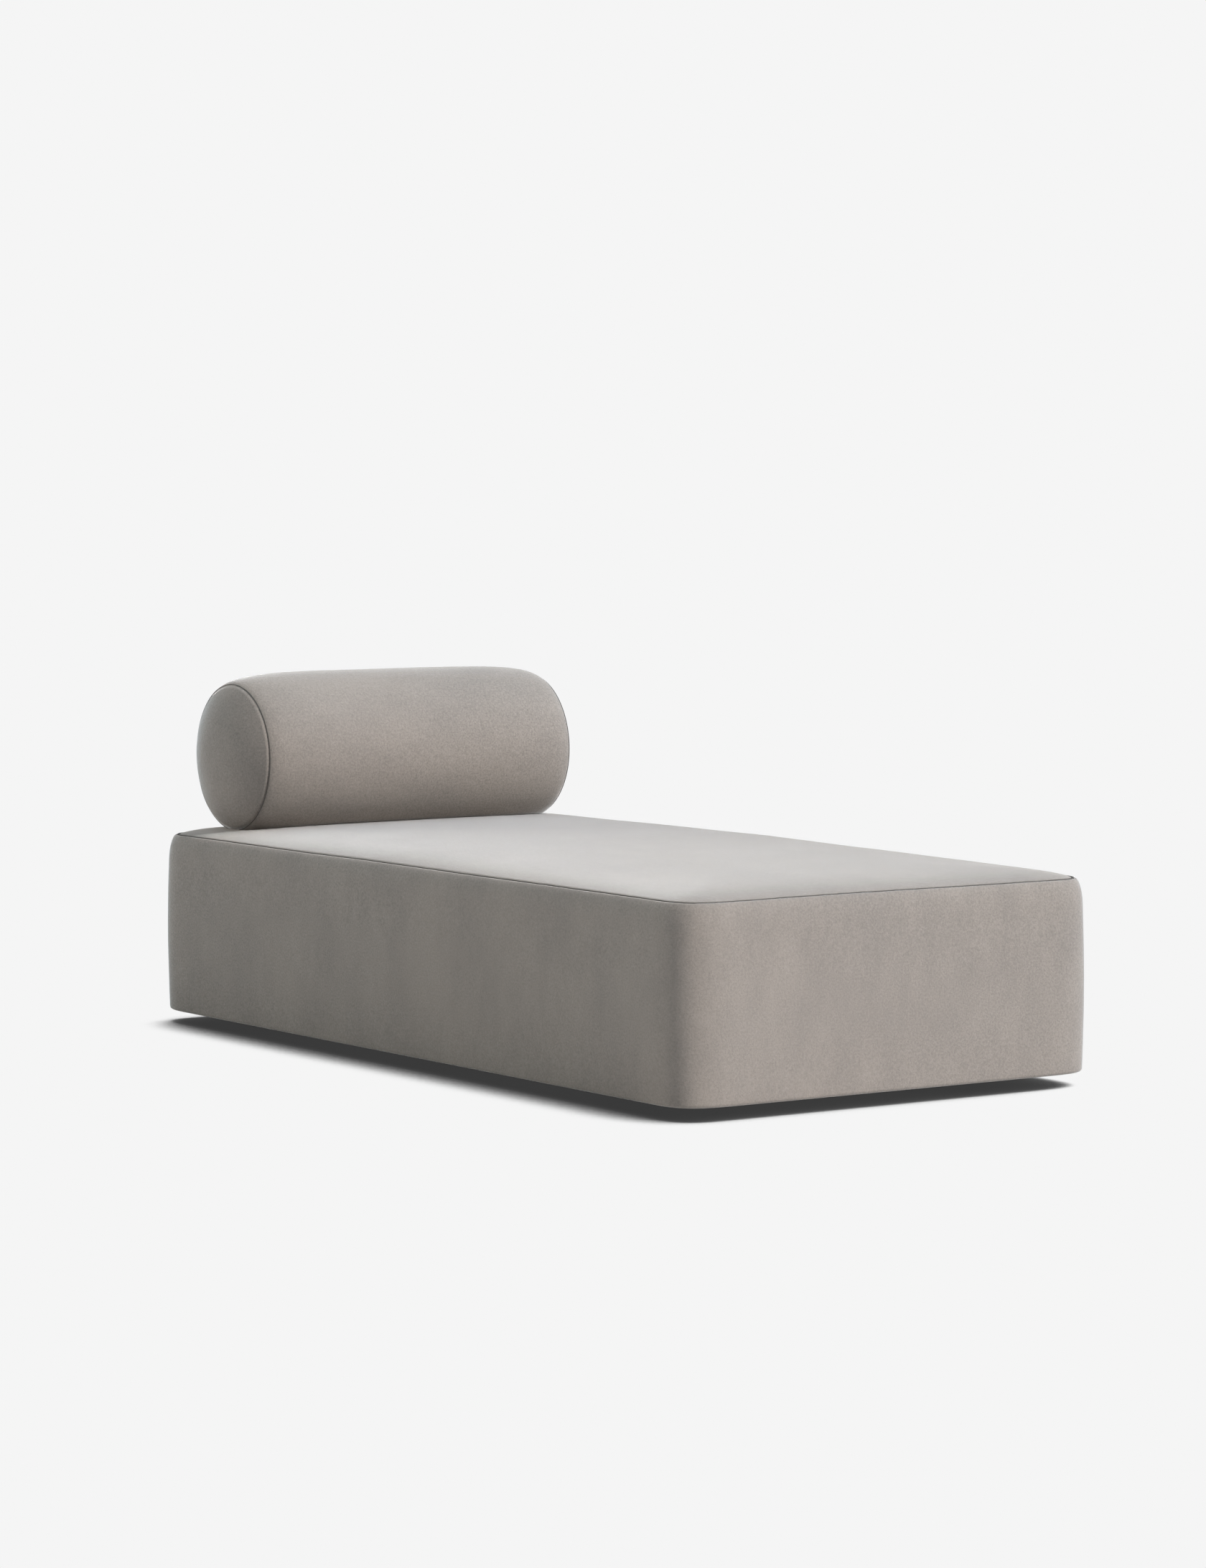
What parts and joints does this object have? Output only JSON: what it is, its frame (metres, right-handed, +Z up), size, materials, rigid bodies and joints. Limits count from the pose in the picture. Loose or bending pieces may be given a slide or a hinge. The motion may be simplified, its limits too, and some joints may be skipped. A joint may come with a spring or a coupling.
{
  "type": "upholstered daybed",
  "caption": "Low rectangular daybed fully covered in velvet, with rounded corners, a seamed padded top on hidden feet, and a loose round bolster with a zipped cover at one end.",
  "frame": {"origin": "on the floor under the middle of the bed", "axes": "+X along the bed towards its foot end, with the bolster at -X; +Y across it, with the front long side at -Y; +Z up"},
  "size_m": [2, 1, 0.7603],
  "materials": {
    "velvet": "short warm grey pile with a sheen",
    "wadding": "soft white fibre",
    "firm_foam": "firm open foam",
    "soft_foam": "soft open foam",
    "timber": "planed softwood",
    "zinc_steel": "zinc plated",
    "foot_plastic": "black, moulded",
    "glide_felt": "dense felt",
    "dust_cloth": "thin black non-woven cloth",
    "zip_tape": "fine woven tape",
    "zip_metal": "nickel plated"
  },
  "bodies": {
    "base": {"side_rail_front": "timber", "side_rail_back": "timber", "end_rail_head": "timber", "end_rail_foot": "timber", "corner_post_head_front": "timber", "corner_post_head_back": "timber", "corner_post_foot_front": "timber", "corner_post_foot_back": "timber", "foot_bearer_head": "timber", "foot_bearer_middle": "timber", "foot_bearer_foot": "timber", "centre_beam": "timber", "slat_01": "timber", "slat_02": "timber", "slat_03": "timber", "slat_04": "timber", "slat_05": "timber", "slat_06": "timber", "slat_07": "timber", "slat_08": "timber", "slat_09": "timber", "slat_10": "timber", "slat_11": "timber", "slat_12": "timber", "foot_bolt_1": "zinc_steel", "foot_bolt_2": "zinc_steel", "foot_bolt_3": "zinc_steel", "foot_bolt_4": "zinc_steel", "foot_bolt_5": "zinc_steel", "foot_bolt_6": "zinc_steel", "foot_1": "foot_plastic", "foot_2": "foot_plastic", "foot_3": "foot_plastic", "foot_4": "foot_plastic", "foot_5": "foot_plastic", "foot_6": "foot_plastic", "glide_1": "glide_felt", "glide_2": "glide_felt", "glide_3": "glide_felt", "glide_4": "glide_felt", "glide_5": "glide_felt", "glide_6": "glide_felt", "dust_cover": "dust_cloth", "base_foam": "firm_foam", "top_foam": "soft_foam", "side_foam": "soft_foam", "wadding_wrap": "wadding", "side_cover_band": "velvet", "top_cover_panel": "velvet"},
    "bolster": {"bolster_core": "soft_foam", "bolster_wadding": "wadding", "bolster_cover_tube": "velvet", "bolster_end_front": "velvet", "bolster_end_back": "velvet", "zip_tape": "zip_tape", "zip_chain": "zip_metal"},
    "slider": {"zip_slider": "zip_metal", "zip_pull_pin": "zip_metal"},
    "pull": {"zip_pull": "zip_metal"}
  },
  "joints": [
    {"name": "bolster_lift", "type": "slide", "parent": "base", "child": "bolster", "axis": [0, 0, 1], "range_m": [0, 0.35]},
    {"name": "zip_slide", "type": "slide", "parent": "bolster", "child": "slider", "axis": [0, 1, 0], "range_m": [0, 0.44]},
    {"name": "pull_hinge", "type": "hinge", "parent": "slider", "child": "pull", "pos_m": [-0.96647, -0.24, 0.46935], "axis": [-0.6038, 0, 0.7971], "range_deg": [-85, 85]}
  ]
}
